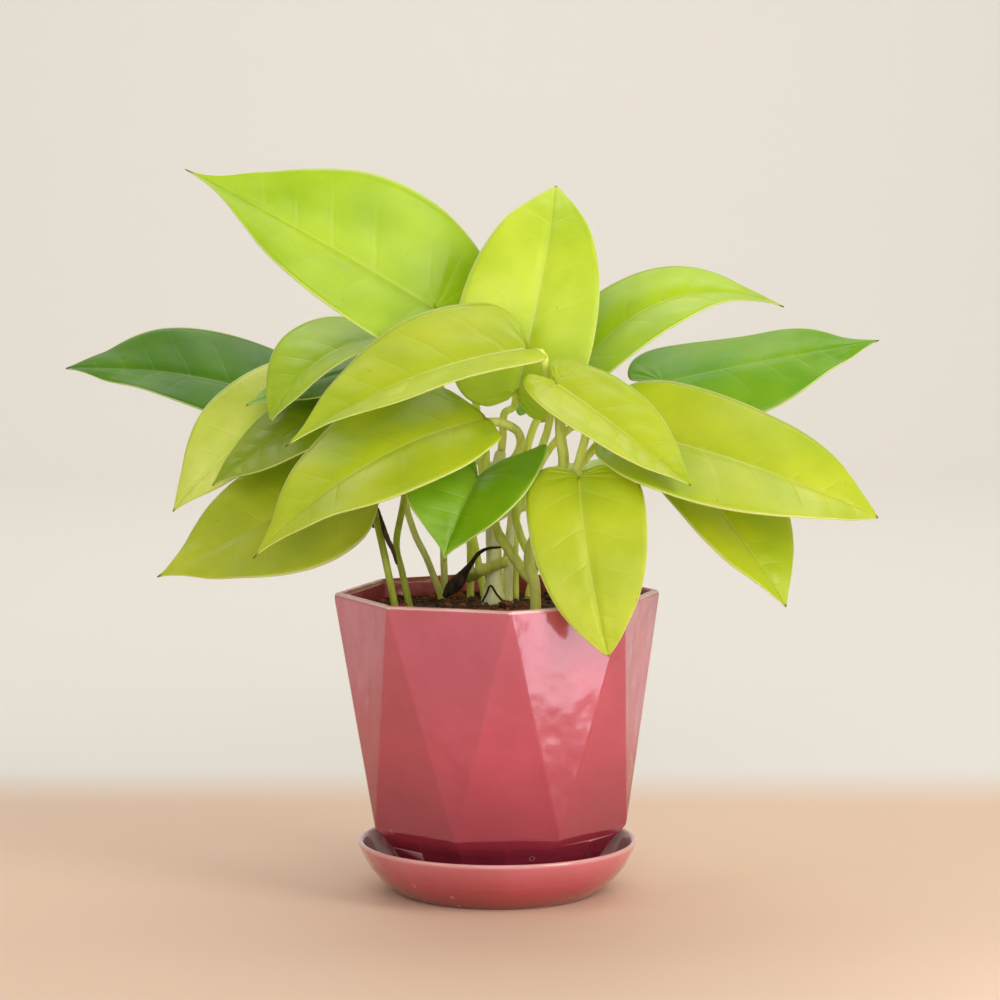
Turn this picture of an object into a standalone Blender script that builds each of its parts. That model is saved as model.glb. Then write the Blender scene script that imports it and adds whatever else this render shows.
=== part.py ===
"""A young pothos in a faceted glazed pot that stands in a round saucer.

The origin is the centre of the saucer's flat underside, +Z is up and -Y is the front.
All sizes below are in millimetres, and become metres where a mesh or a curve is made.
"""

import math
from collections import namedtuple

import bmesh
import bpy
from mathutils import Vector

MM = 0.001
GAP = 0.35  # clear space kept between neighbouring pieces

# Pot: an octagon at the rim, joined by triangular facets to a smaller octagon half a side round from it.
SIDES = 8
RING = 2 * SIDES  # points round a ring of the pot: corners and the middles of sides
POT_TURN = 4.3  # degrees from the front to the nearest rim corner
RIM_RADIUS = 60.0  # to a corner
RIM_HEIGHT = 111.0
FACET_FOOT_RADIUS = 49.6  # to a corner
FACET_FOOT_HEIGHT = 27.0
WALL = 3.6
INNER_RIM_RADIUS = RIM_RADIUS - WALL - 0.2  # to a corner
INNER_FOOT_RADIUS = FACET_FOOT_RADIUS - WALL
INNER_FOOT_HEIGHT = 28.2
POT_FOOT_RADIUS = 36.0
DRAIN_RADIUS = 6.0

# Saucer
SAUCER_RADIUS = 51.6
SAUCER_HEIGHT = 19.2
SAUCER_FLOOR = 4.2
SAUCER_SEGMENTS = 40

# Soil
SOIL_EDGE = 103.5
SOIL_CROWN = 106.0
SOIL_INSET = 0.6  # from the inside of the pot

# Leaves
BLADE_THICKNESS = 0.7
BLADE_STEPS = 2  # faces from midrib to margin
STALK_POINTS = 11


def clear_scene():
    for old in list(bpy.data.objects):
        bpy.data.objects.remove(old, do_unlink=True)


def material(name, colour, roughness):
    made = bpy.data.materials.new(name)
    made.use_nodes = True
    shader = made.node_tree.nodes["Principled BSDF"]
    shader.inputs["Base Color"].default_value = (*colour, 1.0)
    shader.inputs["Roughness"].default_value = roughness
    return made


def add_object(name, mesh, finish):
    made = bpy.data.objects.new(name, mesh)
    made.data.materials.append(finish)
    bpy.context.scene.collection.objects.link(made)
    return made


def mesh_from(name, points, faces):
    mesh = bpy.data.meshes.new(name)
    mesh.from_pydata([Vector(p) * MM for p in points], [], faces)
    shape = bmesh.new()
    shape.from_mesh(mesh)
    bmesh.ops.remove_doubles(shape, verts=shape.verts, dist=1e-7)
    bmesh.ops.recalc_face_normals(shape, faces=shape.faces)
    shape.to_mesh(mesh)
    shape.free()
    return mesh


def rings_to_faces(rings, count):
    """Quads between each ring of count points and the next."""
    return [(row * count + k, row * count + (k + 1) % count,
             (row + 1) * count + (k + 1) % count, (row + 1) * count + k)
            for row in range(rings - 1) for k in range(count)]


# ---------------------------------------------------------------- pot, saucer, soil


def corner_ring(radius, height, turned, roundness=0.0):
    """Sixteen points of an octagon: its corners and the middles of its sides. turned puts the corners
    half a side round, and roundness 1 gives a circle."""
    points = []
    for k in range(RING):
        angle = math.radians(POT_TURN + k * 360.0 / RING)
        on_corner = (k % 2 == 1) if turned else (k % 2 == 0)
        side_middle = radius * math.cos(math.pi / SIDES)
        reach = radius if on_corner else side_middle + (radius - side_middle) * roundness
        points.append((reach * math.sin(angle), -reach * math.cos(angle), height))
    return points


def facets(upper, lower):
    """Triangles between a ring with corners on even places (upper) and one with corners on odd places."""
    faces = []
    for k in range(RING):
        after = (k + 1) % RING
        top_a, top_b = upper * RING + k, upper * RING + after
        low_a, low_b = lower * RING + k, lower * RING + after
        if k % 2 == 0:
            faces += [(top_a, top_b, low_b), (top_a, low_b, low_a)]
        else:
            faces += [(top_a, top_b, low_a), (top_b, low_b, low_a)]
    return faces


def pot_rings():
    """Rings of the pot from the outer rim down, under the foot, and up the inside to the rim again."""
    inner_rim = INNER_RIM_RADIUS
    foot = POT_FOOT_RADIUS
    standing = SAUCER_FLOOR + GAP
    outside = [
        corner_ring(RIM_RADIUS - 1.3, RIM_HEIGHT, False),
        corner_ring(RIM_RADIUS - 0.4, RIM_HEIGHT - 0.4, False),
        corner_ring(RIM_RADIUS, RIM_HEIGHT - 1.3, False),
        corner_ring(FACET_FOOT_RADIUS, FACET_FOOT_HEIGHT, True),
        corner_ring(46.4, 23.6, True, 0.4),
        corner_ring(42.6, 19.6, True, 0.7),
        corner_ring(39.4, 14.6, True, 0.9),
        corner_ring(37.4, 9.0, True, 1.0),
        corner_ring(foot + 0.6, standing + 0.8, True, 1.0),
        corner_ring(foot, standing, True, 1.0),
        corner_ring(foot - 3.0, standing, True, 1.0),
        corner_ring(foot - 4.2, standing + 1.6, True, 1.0),
        corner_ring(DRAIN_RADIUS + 0.6, standing + 1.8, True, 1.0),
    ]
    inside = [
        corner_ring(DRAIN_RADIUS, standing + 5.4, True, 1.0),
        corner_ring(foot - 4.5, standing + 5.8, True, 1.0),
        corner_ring(foot - 0.6, standing + 9.5, True, 1.0),
        corner_ring(39.0, 20.6, True, 0.7),
        corner_ring(INNER_FOOT_RADIUS, INNER_FOOT_HEIGHT, True, 0.0),
        corner_ring(inner_rim, RIM_HEIGHT - 1.4, False),
        corner_ring(inner_rim + 0.5, RIM_HEIGHT - 0.4, False),
        corner_ring(inner_rim + 1.4, RIM_HEIGHT, False),
    ]
    return outside + inside


def make_pot(finish):
    rings = pot_rings()
    points = [p for ring in rings for p in ring]
    outer_top, inner_foot = 2, len(rings) - 4
    faces = facets(outer_top, outer_top + 1) + facets(inner_foot + 1, inner_foot)
    closing = len(rings) - 1
    for row in range(len(rings)):
        if row in (outer_top, inner_foot):
            continue
        above = 0 if row == closing else row + 1
        for k in range(RING):
            after = (k + 1) % RING
            faces.append((row * RING + k, row * RING + after, above * RING + after, above * RING + k))
    return add_object("pot", mesh_from("pot", points, faces), finish)


def saucer_profile():
    """(radius, height) from the middle of the underside round the lip to the middle of the floor."""
    lip = SAUCER_HEIGHT
    wide = SAUCER_RADIUS
    return [
        (0.0, 0.0),
        (34.6, 0.0),
        (36.6, 0.5),
        (40.2, 2.6),
        (44.0, 5.9),
        (47.4, 10.0),
        (50.2, 15.0),
        (wide, lip - 1.3),
        (wide - 0.2, lip - 0.4),
        (wide - 1.0, lip),
        (wide - 1.9, lip - 0.5),
        (48.6, 15.6),
        (46.0, 11.2),
        (42.6, 7.4),
        (39.4, 5.2),
        (37.6, SAUCER_FLOOR),
        (0.0, SAUCER_FLOOR),
    ]


def make_saucer(finish):
    points = []
    profile = saucer_profile()
    for radius, height in profile:
        for k in range(SAUCER_SEGMENTS):
            angle = 2 * math.pi * k / SAUCER_SEGMENTS
            points.append((radius * math.sin(angle), -radius * math.cos(angle), height))
    faces = rings_to_faces(len(profile), SAUCER_SEGMENTS)
    mesh = mesh_from("saucer", points, faces)
    mesh.shade_smooth()
    return add_object("saucer", mesh, finish)


def cavity_ring(height, inset):
    """Sixteen points just inside the pot's inner wall at a height in its facet zone."""
    low, high = INNER_FOOT_HEIGHT, RIM_HEIGHT - 1.4
    share = (height - low) / (high - low)
    flat = math.cos(math.pi / SIDES)
    points = []
    for k in range(RING):
        angle = math.radians(POT_TURN + k * 360.0 / RING)
        at_top, at_foot = INNER_RIM_RADIUS, INNER_FOOT_RADIUS * flat
        if k % 2:
            at_top, at_foot = INNER_RIM_RADIUS * flat, INNER_FOOT_RADIUS
        reach = at_foot + (at_top - at_foot) * share - inset
        points.append((reach * math.sin(angle), -reach * math.cos(angle), height))
    return points


def soil_bump(x, y):
    """A few millimetres of clods, as crossed waves."""
    return 0.7 * math.sin(x / 4.3 + 0.6) * math.cos(y / 5.1) + 0.5 * math.sin((x + y) / 3.1 + 1.7)


def make_soil(finish):
    standing = SAUCER_FLOOR + GAP
    rings = [
        corner_ring(POT_FOOT_RADIUS - 5.5, standing + 6.2, True, 1.0),
        corner_ring(POT_FOOT_RADIUS - 1.6, standing + 10.4, True, 1.0),
        corner_ring(38.0, 21.4, True, 0.7),
        cavity_ring(29.0, SOIL_INSET),
        cavity_ring(SOIL_EDGE, SOIL_INSET),
    ]
    edge = rings[-1]
    for share in (0.82, 0.6, 0.36, 0.14):
        rings.append([
            (x * share, y * share, SOIL_EDGE + (SOIL_CROWN - SOIL_EDGE) * (1 - share ** 2)
             + soil_bump(x * share, y * share))
            for x, y, _ in edge
        ])
    points = [p for ring in rings for p in ring]
    faces = rings_to_faces(len(rings), RING)
    faces.append(tuple(range(RING)))
    faces.append(tuple(range(len(points) - RING, len(points))))
    return add_object("soil", mesh_from("soil", points, faces), finish)


# ---------------------------------------------------------------- leaves

# base: where the stalk meets the blade; tip: the point of the leaf; face: where the upper side looks;
# left, right: half widths seen from base to tip with the upper side up; arch: how far the midrib rises off
# the straight line from base to tip; sway: the same sideways, to the right; fold: degrees that each half is
# raised from flat; droop: how far the margins curl back down; lobe: how far the rounded lobes reach behind
# the stalk, as a share of the length; slope: 0 for square shoulders, more for shoulders that fall away to
# the stalk; taper: above 1 the blade narrows sooner towards its tip.
Leaf = namedtuple("Leaf", "base tip face left right arch sway fold droop lobe slope taper")

LEAVES = {
    "top_left": Leaf((-23, 20, 214), (-114, 8, 265), (0.33, -0.74, 0.58), 34, 38, 2, 0, 15, 2, 0.19, -0.01, 1.75),
    "far_left": Leaf((-79, 60, 176), (-164, 50, 190), (0.13, -0.57, 0.81), 20, 30, 6, 0, 6, 2, 0.16, 0.0, 1.1),
    "top_centre": Leaf((7, 2, 184), (22, 38, 259), (0.0, -0.88, 0.47), 28, 24, 12, 2, 10, 2, 0.08, 0.0, 0.9),
    "top_right": Leaf((26, 16, 187), (107, 30, 214), (-0.2, -0.5, 0.85), 24, 22, 20, 0, 10, 2, 0.06, 0.04, 1.3),
    "middle_left": Leaf((11, -18, 201), (-75, -40, 167), (-0.34, -0.5, 0.8), 22, 30, 7, 0, 14, 1, 0.02, 0.0, 1.5),
    "front_left": Leaf((-4, -20, 176), (-86, -46, 128), (-0.42, -0.57, 0.70), 30, 33, 10, 0, 7, 2, 0.0, 0.12, 1.4),
    "lowest_left": Leaf((-53, 6, 156), (-124, -8, 117), (-0.38, -0.71, 0.60), 33, 28, -2, 0, 2, 1, 0.04, 0.06, 1.3),
    "pale_left": Leaf((-67, 34, 182), (-121, 22, 138), (-0.42, -0.8, 0.42), 15, 26, 7, 0, 2, 2, 0.10, 0.0, 1.1),
    "inner_left": Leaf((-43, 19, 203), (-83, 2, 173), (-0.54, -0.44, 0.72), 24, 27, 8, 0, 12, 1, 0.02, 0.04, 0.9),
    "tucked_left": Leaf((-36, 26, 194), (-93, 18, 178), (-0.3, -0.35, 0.88), 20, 20, 2, 0, 4, 1, 0.10, 0.0, 1.0),
    "olive_left": Leaf((-56, 16, 179), (-105, 8, 149), (-0.4, -0.5, 0.75), 22, 19, 3, 0, 8, 2, 0.10, 0.0, 1.1),
    "front_hanging": Leaf((29, -33, 156), (39, -60, 95), (0.05, -0.95, 0.3), 23, 20, 4, 2, 10, 3, 0.05, 0.0, 0.8),
    "front_right": Leaf((21, -24, 189), (68, -48, 154), (0.5, -0.6, 0.62), 20, 23, 1, 0, 12, 1, 0.12, 0.04, 1.0),
    "long_right": Leaf((46, -13, 171), (137, -22, 140), (0.27, -0.59, 0.76), 31, 34, 4, 0, 10, 2, 0.08, 0.02, 0.85),
    "low_right": Leaf((62, 0, 164), (104, -24, 108), (0.5, -0.7, 0.48), 31, 20, 3, 0, 10, 2, 0.08, 0.0, 1.0),
    "far_right": Leaf((62, 30, 186), (144, 42, 201), (-0.16, -0.57, 0.80), 26, 24, 1, 0, -5, 2, 0.13, 0.0, 1.25),
    "small_centre": Leaf((19, 28, 180), (44, 48, 197), (-0.3, -0.5, 0.8), 15, 15, 2, 0, 6, 2, 0.30, 0.0, 1.0),
    "curled_centre": Leaf((-7, -24, 155), (-19, -46, 127), (-0.1, -0.75, 0.6), 25, 27, 3, 0, 22, 0, 0.25, -0.4, 1.7),
    "rear_left": Leaf((-14, 57, 154), (-74, 98, 146), (-0.2, 0.3, 0.93), 26, 28, 6, 0, 10, 4, 0.12, 0.0, 1.0),
    "rear_right": Leaf((36, 44, 152), (84, 90, 144), (0.1, 0.3, 0.95), 26, 26, 6, 0, 10, 4, 0.12, 0.0, 1.0),
    "rear_low": Leaf((-1, 46, 138), (-6, 104, 122), (0.0, 0.35, 0.93), 25, 25, 6, 0, 10, 4, 0.12, 0.0, 1.0),
}

# Half of a flat leaf from the stalk round the lobe to the tip. Each row is the share of the half width,
# then how far along the leaf it lies: a share of the lobe's reach, of the slope, and of the length.
HALF_OUTLINE = [
    (0.08, 0.45, 0.0, 0.0), (0.34, 1.00, 0.1, 0.0), (0.68, 0.70, 0.4, 0.0), (0.93, 0.0, 1.0, 0.05),
    (1.00, 0.0, 0.6, 0.22), (0.95, 0.0, 0.2, 0.42), (0.80, 0.0, 0.0, 0.60), (0.57, 0.0, 0.0, 0.75),
    (0.30, 0.0, 0.0, 0.87), (0.11, 0.0, 0.0, 0.95), (0.0, 0.0, 0.0, 1.0),
]
WIDEST = 0.22  # share of the length where the taper starts
RIB_SLANT = 0.16  # how far a side vein runs forward from midrib to margin, as a share of the length


class Blade:
    """The curved surface of one leaf."""

    def __init__(self, leaf):
        self.leaf = leaf
        self.base = Vector(leaf.base)
        self.chord = Vector(leaf.tip) - self.base
        along = self.chord.normalized()
        face = Vector(leaf.face)
        self.up = (face - along * face.dot(along)).normalized()
        self.side = along.cross(self.up)
        self.rise = self.up * leaf.arch * 4 + self.side * leaf.sway * 4

    def midrib(self, t):
        if t < 0:
            return self.base + (self.chord + self.rise) * t
        return self.base + self.chord * t + self.rise * t * (1 - t)

    def axes(self, t):
        """Forward, up and right at a place along the midrib."""
        t = min(max(t, 0.0), 1.0)
        forward = (self.chord + self.rise * (1 - 2 * t)).normalized()
        up = (self.up - forward * self.up.dot(forward)).normalized()
        return forward, up, forward.cross(up)

    def point(self, hand, across, t):
        """hand is 1 for the right half and -1 for the left; across is a share of the half width."""
        leaf = self.leaf
        _, up, right = self.axes(t)
        width = leaf.right if hand > 0 else leaf.left
        reach = across * width
        fold = math.radians(leaf.fold)
        lift = reach * math.sin(fold) - leaf.droop * across ** 2
        return self.midrib(t) + right * hand * reach * math.cos(fold) + up * lift


def blade_ribs(leaf):
    """(across, t, root) of the margin end of each side vein, and where it leaves the midrib."""
    ribs = []
    for across, back, fall, along in HALF_OUTLINE:
        if along > WIDEST:
            across = across ** leaf.taper
        t = along + fall * leaf.slope - back * leaf.lobe
        ribs.append((across, t, max(0.0, t - RIB_SLANT * across)))
    return ribs


def make_blade(name, leaf, finish):
    blade = Blade(leaf)
    ribs = blade_ribs(leaf)
    points, faces = [], []
    for hand in (1, -1):
        first = len(points)
        for across, t, root in ribs:
            for k in range(BLADE_STEPS + 1):
                share = k / BLADE_STEPS
                points.append(blade.point(hand, across * share, root + (t - root) * share))
        row = BLADE_STEPS + 1
        for j in range(len(ribs) - 1):
            for k in range(BLADE_STEPS):
                a = first + j * row + k
                quad = (a, a + 1, a + row + 1, a + row)
                faces.append(quad if hand > 0 else quad[::-1])
    made = add_object(name, mesh_from(name, points, faces), finish)
    solid = made.modifiers.new("thickness", "SOLIDIFY")
    solid.thickness = BLADE_THICKNESS * MM
    solid.offset = 0.0
    made.data.shade_smooth()
    return made


# ---------------------------------------------------------------- stalks, vines and dry pieces

# Points from the foot of each stalk to just short of its leaf, and its radius there and at the leaf.
STALKS = {
    "top_left": ([(-5, 8, 150), (-8, 14, 180), (-12, 21, 200)], 1.5, 1.3),
    "far_left": ([(-7, 12, 140), (-14, 26, 158), (-48, 54, 170)], 1.5, 1.3),
    "top_centre": ([(2, -1, 167), (2.5, -1, 176)], 1.5, 1.3),
    "top_right": ([(7, 7, 145), (14, 9, 172)], 1.5, 1.4),
    "middle_left": ([(10, -14, 129), (8, -12, 134), (6.5, -10, 141), (9, -11, 152), (15.8, -13, 164),
                     (19.5, -13, 179), (17, -15, 194)], 1.5, 1.4),
    "front_left": ([(10, -15.5, 119.5), (5, -13.5, 126.5), (-1, -9, 137), (1, -6, 152), (8, -4, 163),
                   (7.5, -8, 170)], 2.0, 1.5),
    "lowest_left": ([(-37, -10, 105), (-41, -9, 125), (-45, -3, 141), (-47, 3, 149)], 1.4, 1.3),
    "pale_left": ([(-20, 24, 106), (-20, 23, 119), (-22, 24, 135), (-36, 32, 165)], 1.4, 1.3),
    "inner_left": ([(-10, 16, 107), (-10, 14, 122), (-10.5, 12, 132), (-14, 14, 160), (-24, 16, 192)], 1.4, 1.3),
    "tucked_left": ([(-21, 16, 107), (-26, 14, 121), (-31, 12, 132), (-34, 14, 146), (-31, 20, 172)], 1.3, 1.2),
    "olive_left": ([(-32, -3, 105), (-35, -3, 119), (-37, 0, 129), (-34, 8, 148), (-36, 14, 168), (-43, 17, 179)],
                   1.3, 1.2),
    "front_hanging": ([(27, -21, 181), (32, -24, 173)], 1.6, 1.6),
    "front_right": ([(23, -20, 182), (21, -20, 187)], 1.5, 1.4),
    "long_right": ([(23, -14, 150), (34, -11, 163)], 1.5, 1.5),
    "low_right": ([(27, -10, 140), (42, -6, 152)], 1.4, 1.3),
    "far_right": ([(8, 10, 140), (22, 19, 165), (48, 27, 181)], 1.5, 1.3),
    "small_centre": ([(7, 12, 109), (7, 13, 130), (10, 20, 160)], 1.1, 1.1),
    "curled_centre": ([(-3, -5, 148), (-4, -7, 158), (-4, -13, 163)], 1.4, 1.3),
    "rear_left": ([(-5, 20, 108), (-12, 32, 145)], 1.5, 1.3),
    "rear_right": ([(12, 20, 108), (20, 32, 136)], 1.5, 1.3),
    "rear_low": ([(1, 26, 108), (0, 36, 126)], 1.5, 1.3),
}

# Main stems: points and radii.
VINES = {
    "vine_front": ([(14, -22, 106.5), (13.5, -22, 116), (11.5, -20, 126), (17, -22, 142), (23.5, -25, 158),
                    (22.8, -23, 169), (22.4, -21, 179)], 2.0, 2.0),
    "vine_sheathed": ([(-11, 9.5, 115), (-7.4, 4.5, 117), (-6.4, -0.5, 118.6), (-3.5, -4.2, 119.8), (4, -8, 123)],
                      2.1, 2.0),
    "vine_pale": ([(-1.4, 2, 108), (-1.6, 2, 122), (-1.9, 2, 135), (-1, 1, 150), (1.5, 0, 163)], 2.6, 2.2),
    "vine_white": ([(4, 5, 108), (4, 4, 123), (5, 4, 134), (6, 5, 142)], 1.9, 1.6),
}


# Dry and dark pieces: points, then the radius at each.
DRY = {
    "dry_sheath": ([(-19.6, 5, 108.2), (-17, 4.5, 111.3), (-14, 3.5, 114.6), (-11.4, 2.5, 118.4), (-9.2, 1.5, 121.3)],
                   (0.9, 1.8, 2.6, 2.8, 2.6, 2.0, 1.5, 1.1, 0.9)),
    "dry_strip_long": ([(-43.4, -5.4, 142), (-41.6, -8.3, 136), (-40, -10.6, 131.5), (-37.8, -11.6, 127), (-36.6, -11.6, 122)],
                       (0.3, 0.6, 0.9, 1.0, 0.9, 0.7, 0.3)),
    "dry_strip_short": ([(-47.6, -4.6, 140.5), (-46.4, -6.2, 138), (-45, -7.8, 135)], (0.3, 0.7, 0.8, 0.6, 0.3)),
    "root_wire_tall": ([(-5.5, -6, 107.5), (-4, -5.5, 110.5), (-2.4, -5, 113.5), (0, -4.6, 110), (2, -5, 107.8)],
                       (0.35, 0.4, 0.4, 0.4, 0.4, 0.4, 0.4, 0.4, 0.35)),
    "root_wire_curved": ([(-8.4, 0.8, 122.8), (-6.6, -0.2, 125), (-3.2, -2.2, 126.9), (3.6, -5.5, 127.8)],
                         (0.8, 0.8, 0.7, 0.6, 0.5, 0.4, 0.35)),
}


def smooth_route(points, count):
    """Points evenly spread along a smooth curve through the given ones."""
    points = [Vector(p) for p in points]
    ends = [points[0] * 2 - points[1]] + points + [points[-1] * 2 - points[-2]]
    fine = []
    steps = 12
    for k in range(len(points) - 1):
        a, b, c, d = ends[k:k + 4]
        for step in range(steps):
            u = step / steps
            fine.append(0.5 * (2 * b + (c - a) * u + (2 * a - 5 * b + 4 * c - d) * u ** 2
                               + (3 * b - a - 3 * c + d) * u ** 3))
    fine.append(points[-1])
    lengths = [0.0]
    for a, b in zip(fine, fine[1:]):
        lengths.append(lengths[-1] + (b - a).length)
    route = []
    for k in range(count):
        target = lengths[-1] * k / (count - 1)
        j = max(i for i in range(len(fine) - 1) if lengths[i] <= target + 1e-9)
        span = lengths[j + 1] - lengths[j]
        route.append(fine[j].lerp(fine[j + 1], (target - lengths[j]) / span))
    return route


def make_tube(name, route, radii, finish, fineness=1):
    """A round stem along route, with a radius for each point, as a bevelled curve with filled ends."""
    curve = bpy.data.curves.new(name, "CURVE")
    curve.dimensions = "3D"
    curve.bevel_depth = MM
    curve.bevel_resolution = fineness
    curve.use_fill_caps = True
    spline = curve.splines.new("POLY")
    spline.points.add(len(route) - 1)
    for point, place, radius in zip(spline.points, route, radii):
        point.co = (*(place * MM), 1.0)
        point.radius = radius
    return add_object(name, curve, finish)


def blend(start, end, count):
    return [start + (end - start) * k / (count - 1) for k in range(count)]


def stalk_end(leaf, radius):
    """Where the stalk stops under the blade, and a point on its way in."""
    blade = Blade(leaf)
    forward, up, _ = blade.axes(0.0)
    end = blade.base - up * (radius + GAP + BLADE_THICKNESS / 2)
    return [end - forward * 6 - up * 1.5, end]


def make_stalk(name, place, finish):
    points, start, end = STALKS[place]
    route = smooth_route(list(points) + stalk_end(LEAVES[place], end), STALK_POINTS)
    return make_tube(name, route, blend(start, end, STALK_POINTS), finish)


def make_vine(name, finish):
    points, start, end = VINES[name]
    count = 2 * len(points)
    return make_tube(name, smooth_route(points, count), blend(start, end, count), finish, 2)


def main():
    clear_scene()
    glaze = material("pot_glaze", (0.46, 0.11, 0.14), 0.18)
    saucer_glaze = material("saucer_glaze", (0.48, 0.12, 0.15), 0.18)
    peat = material("coco_peat", (0.07, 0.03, 0.015), 0.95)
    blade_green = material("leaf_green", (0.36, 0.55, 0.02), 0.35)
    stalk_green = material("stalk_green", (0.35, 0.48, 0.06), 0.45)
    vine_green = material("vine_green", (0.42, 0.52, 0.12), 0.5)
    dry = material("dry_sheath_brown", (0.03, 0.02, 0.012), 0.8)

    make_saucer(saucer_glaze)
    make_pot(glaze)
    make_soil(peat)
    for place, leaf in LEAVES.items():
        make_blade("leaf_" + place, leaf, blade_green.copy())
        make_stalk("stalk_" + place, place, stalk_green.copy())
    for name in VINES:
        make_vine(name, vine_green.copy())
    for name, (points, radii) in DRY.items():
        make_tube(name, smooth_route(points, len(radii)), radii, dry.copy(), 2)


main()
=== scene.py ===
# %% [markdown]
# # A young pothos in a faceted glazed pot
# The imported CAD model is the frame that every piece is built on. It is loaded first. Sizes below are in
# millimetres, because a leaf or a pot is thought of in millimetres, and they become metres where a mesh is made.

# %% Load the frame
import math
import random
from collections import namedtuple

import bmesh
import bpy
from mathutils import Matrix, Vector
from mathutils.noise import noise


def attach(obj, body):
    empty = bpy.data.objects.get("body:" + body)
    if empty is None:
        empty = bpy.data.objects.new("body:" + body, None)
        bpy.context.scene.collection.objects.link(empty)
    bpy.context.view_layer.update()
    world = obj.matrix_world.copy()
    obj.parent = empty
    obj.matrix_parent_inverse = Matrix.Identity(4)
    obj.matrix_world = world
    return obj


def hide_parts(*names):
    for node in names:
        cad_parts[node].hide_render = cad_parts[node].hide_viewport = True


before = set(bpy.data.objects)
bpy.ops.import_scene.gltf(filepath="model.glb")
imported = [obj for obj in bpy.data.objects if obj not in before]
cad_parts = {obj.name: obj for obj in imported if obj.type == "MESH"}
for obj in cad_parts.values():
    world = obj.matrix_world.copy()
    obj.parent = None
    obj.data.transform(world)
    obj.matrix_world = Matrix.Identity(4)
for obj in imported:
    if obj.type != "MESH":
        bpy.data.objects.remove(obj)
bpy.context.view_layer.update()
MM = 0.001
scene = bpy.context.scene
scene.view_settings.view_transform = "Standard"

# %% [markdown]
# ## Camera
# A long lens from a little above the rim gives the calm, nearly parallel view of a product picture. The
# camera's aim is given: it looks along +Y and is pitched down by a few degrees.

# %% Camera
CAMERA_PLACE = (0.001, -1.200, 0.256)
CAMERA_PITCH = 5.31  # degrees down from level
LENS = 118.5

lens = bpy.data.cameras.new("camera")
lens.lens = LENS
lens.clip_start = 0.05
camera = bpy.data.objects.new("camera", lens)
camera.location = CAMERA_PLACE
camera.rotation_euler = (math.radians(90 - CAMERA_PITCH), 0, 0)
scene.collection.objects.link(camera)
scene.camera = camera
print("camera at", CAMERA_PLACE, "lens", LENS)

# %% [markdown]
# ## Colour and nodes
# Colours are written as sRGB hex values, the way a paint chart gives them, and one function turns them
# into the linear values that a shader wants. A second small function adds a node, sets it and links it, so
# that each material reads as a short list.

# %% Colour and node helpers
MATH, RANGE, MIX, RAMP = "ShaderNodeMath", "ShaderNodeMapRange", "ShaderNodeMix", "ShaderNodeValToRGB"
NOISE, BUMP, PLACE = "ShaderNodeTexNoise", "ShaderNodeBump", "ShaderNodeTexCoord"


def linear(code):
    channels = [int(code[k:k + 2], 16) / 255 for k in (1, 3, 5)]
    return tuple(c / 12.92 if c <= 0.04045 else ((c + 0.055) / 1.055) ** 2.4 for c in channels) + (1.0,)


def add(tree, kind, links=None, stops=(), **settings):
    """Adds a node. settings are its properties, or inputs by name. links give an input, by name or number,
    an output to follow, a hex colour or a value. stops are a colour ramp's (place, hex colour)."""
    node = tree.nodes.new(kind)
    for name, value in settings.items():
        if hasattr(node, name):
            setattr(node, name, value)
        else:
            node.inputs[name.replace("_", " ")].default_value = value
    for name, source in (links or {}).items():
        if isinstance(source, bpy.types.NodeSocket):
            tree.links.new(source, node.inputs[name])
        else:
            node.inputs[name].default_value = linear(source) if isinstance(source, str) else source
    for _ in stops[2:]:
        node.color_ramp.elements.new(0.5)
    for k, (place, code) in enumerate(stops):
        node.color_ramp.elements[k].position = place
        node.color_ramp.elements[k].color = linear(code)
    return node


def start_material(name, roughness, ior=1.45, **sockets):
    """A new material with its Principled shader: (material, tree, shader)."""
    made = bpy.data.materials.new(name)
    made.use_nodes = True
    tree = made.node_tree
    shader = tree.nodes["Principled BSDF"]
    shader.inputs["Roughness"].default_value = roughness
    shader.inputs["IOR"].default_value = ior
    for name, value in sockets.items():
        shader.inputs[name.replace("_", " ")].default_value = value
    return made, tree, shader


print("helpers ready")

# %% [markdown]
# ## The set
# A plain board that curves up into a backdrop, like a roll of paper in a small studio. It is warmer near the
# plant, where the picture shows a table top, and turns to the pale tone of the wall further out.

# %% Sweep
SWEEP_RADIUS = 900  # mm, of the curve between floor and wall
SWEEP_STEPS = 24
FLOOR_HALF = 2600  # mm, half the width, and how far it reaches to the front
WALL_AT = 2600
WALL_HEIGHT = 3000

sweep_line = [(-FLOOR_HALF, 0.0)]
for k in range(SWEEP_STEPS + 1):
    turn = math.pi / 2 * k / SWEEP_STEPS
    sweep_line.append((WALL_AT - SWEEP_RADIUS + SWEEP_RADIUS * math.sin(turn),
                       SWEEP_RADIUS - SWEEP_RADIUS * math.cos(turn)))
sweep_line.append((WALL_AT, WALL_HEIGHT))
sweep_points = [Vector((x, y, z)) * MM for y, z in sweep_line for x in (-FLOOR_HALF, FLOOR_HALF)]
sweep_mesh = bpy.data.meshes.new("sweep")
sweep_mesh.from_pydata(sweep_points, [], [(2 * k, 2 * k + 1, 2 * k + 3, 2 * k + 2)
                                          for k in range(len(sweep_line) - 1)])
sweep_mesh.shade_smooth()
sweep = bpy.data.objects.new("sweep", sweep_mesh)
paper, tree, shader = start_material("satin_backdrop_board", 0.62, Specular_IOR_Level=0.25)
place = add(tree, "ShaderNodeNewGeometry").outputs["Position"]
parts = add(tree, "ShaderNodeSeparateXYZ", {"Vector": place})
deep = add(tree, MATH, {0: parts.outputs["Y"]}, operation="ABSOLUTE")
half_x = add(tree, MATH, {0: parts.outputs["X"], 1: 0.5}, operation="MULTIPLY")
wide = add(tree, MATH, {0: half_x.outputs[0]}, operation="ABSOLUTE")
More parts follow.
